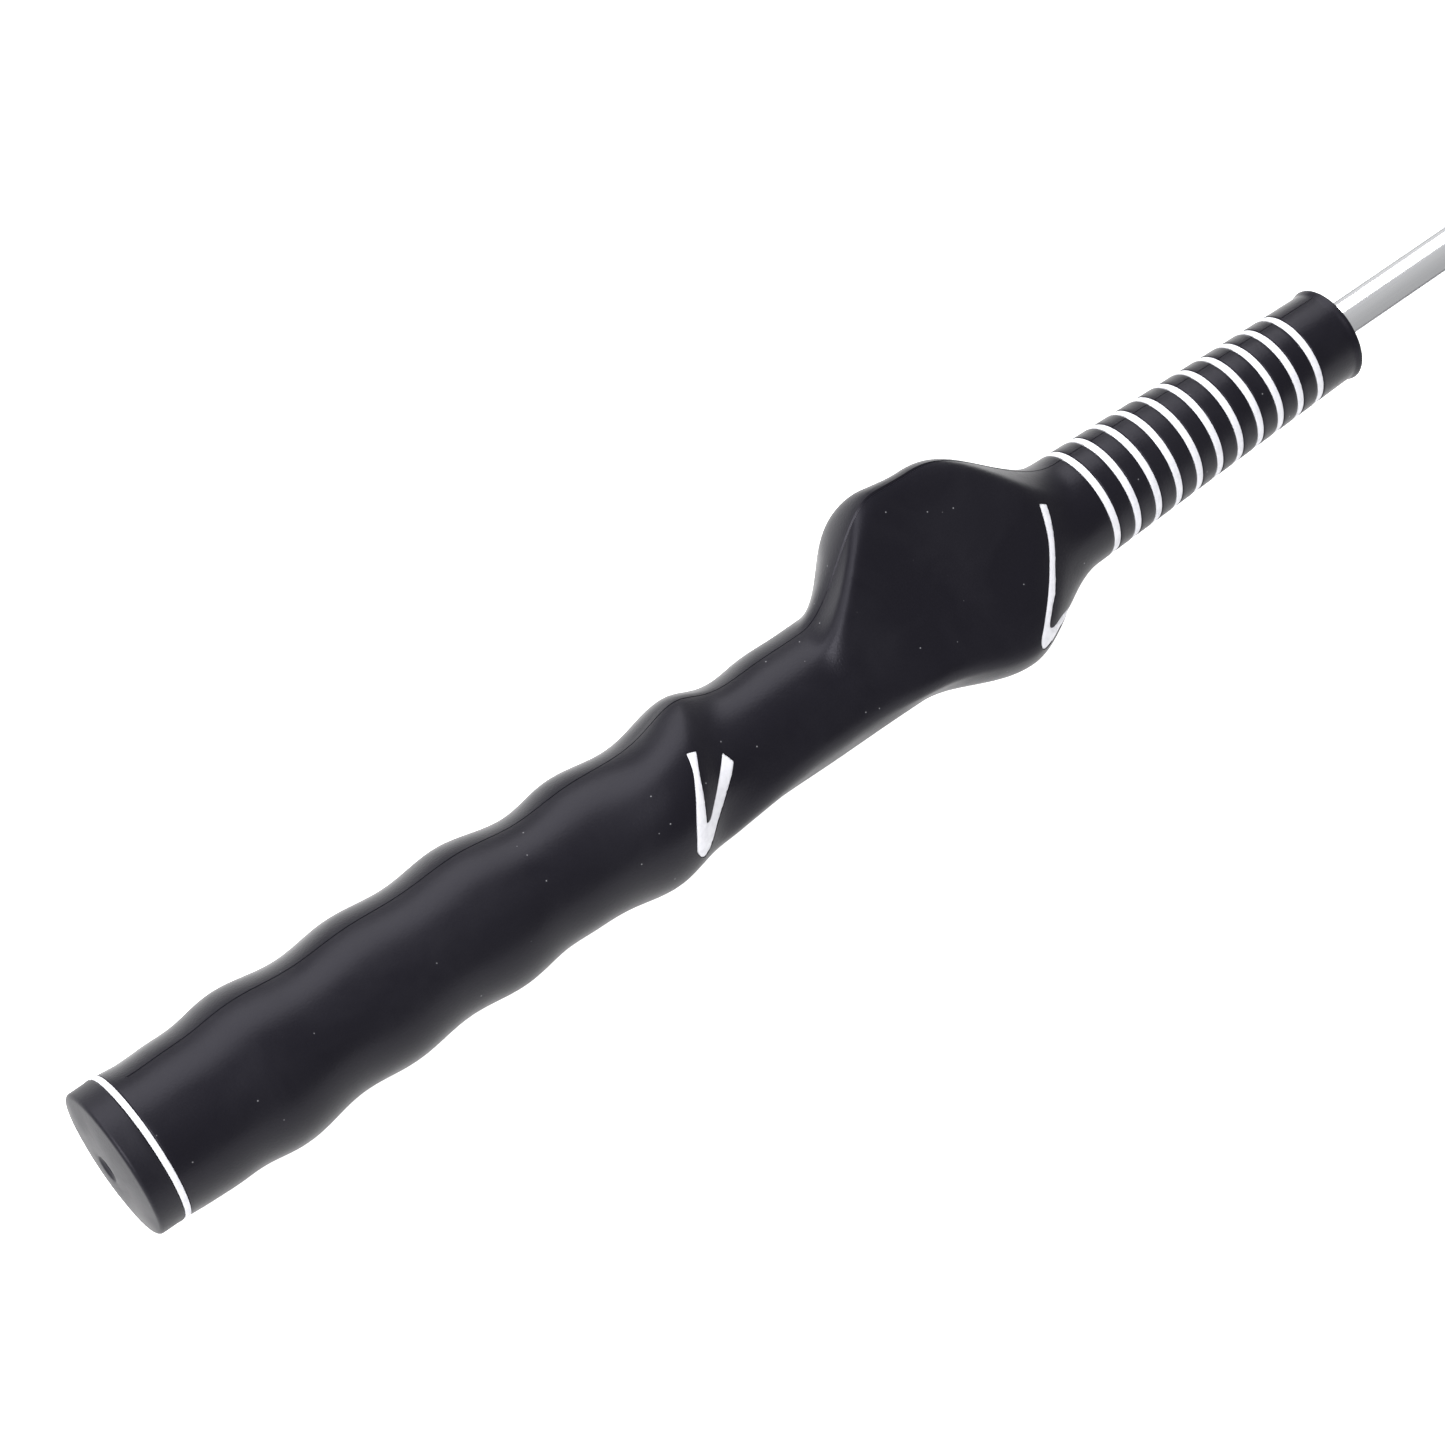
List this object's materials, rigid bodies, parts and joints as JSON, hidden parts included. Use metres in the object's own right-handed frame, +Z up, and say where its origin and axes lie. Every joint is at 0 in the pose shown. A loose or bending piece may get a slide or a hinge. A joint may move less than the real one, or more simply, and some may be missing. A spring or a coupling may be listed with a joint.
{
  "type": "golf swing trainer stick",
  "caption": "Short golf swing trainer: a moulded rubber grip that places the hands, with white guide lines, on a slim chromed steel shaft that ends in a weighted rubber head.",
  "frame": {"origin": "under the middle of the stick, on the surface that it lies on", "axes": "+X along the stick from the butt to the head, +Z up as it lies on the underside of its grip and its head, +Y to the left of +X"},
  "size_m": [0.6488, 0.0378, 0.0429],
  "materials": {
    "grip_rubber": "satin moulded rubber with a fine grain",
    "cap_rubber": "matt moulded rubber",
    "line_paint": "satin white paint filled into a groove",
    "grip_tape": "paper-backed adhesive tape",
    "shaft_chrome": "polished chrome plate",
    "ferrule_plastic": "polished black plastic",
    "weight_steel": "turned steel",
    "head_rubber": "satin moulded rubber",
    "nose_plastic": "satin black plastic"
  },
  "bodies": {
    "root": {"grip_body": "grip_rubber", "butt_cap": "cap_rubber", "butt_line": "line_paint", "neck_line_01": "line_paint", "neck_line_02": "line_paint", "neck_line_03": "line_paint", "neck_line_04": "line_paint", "neck_line_05": "line_paint", "neck_line_06": "line_paint", "neck_line_07": "line_paint", "neck_line_08": "line_paint", "neck_line_09": "line_paint", "neck_line_10": "line_paint", "neck_line_11": "line_paint", "lower_vee_mark": "line_paint", "upper_vee_mark": "line_paint", "grip_tape": "grip_tape", "shaft": "shaft_chrome", "ferrule": "ferrule_plastic", "head_weight": "weight_steel", "head_pin": "weight_steel", "head_cover": "head_rubber", "head_nose": "nose_plastic"}
  },
  "joints": []
}
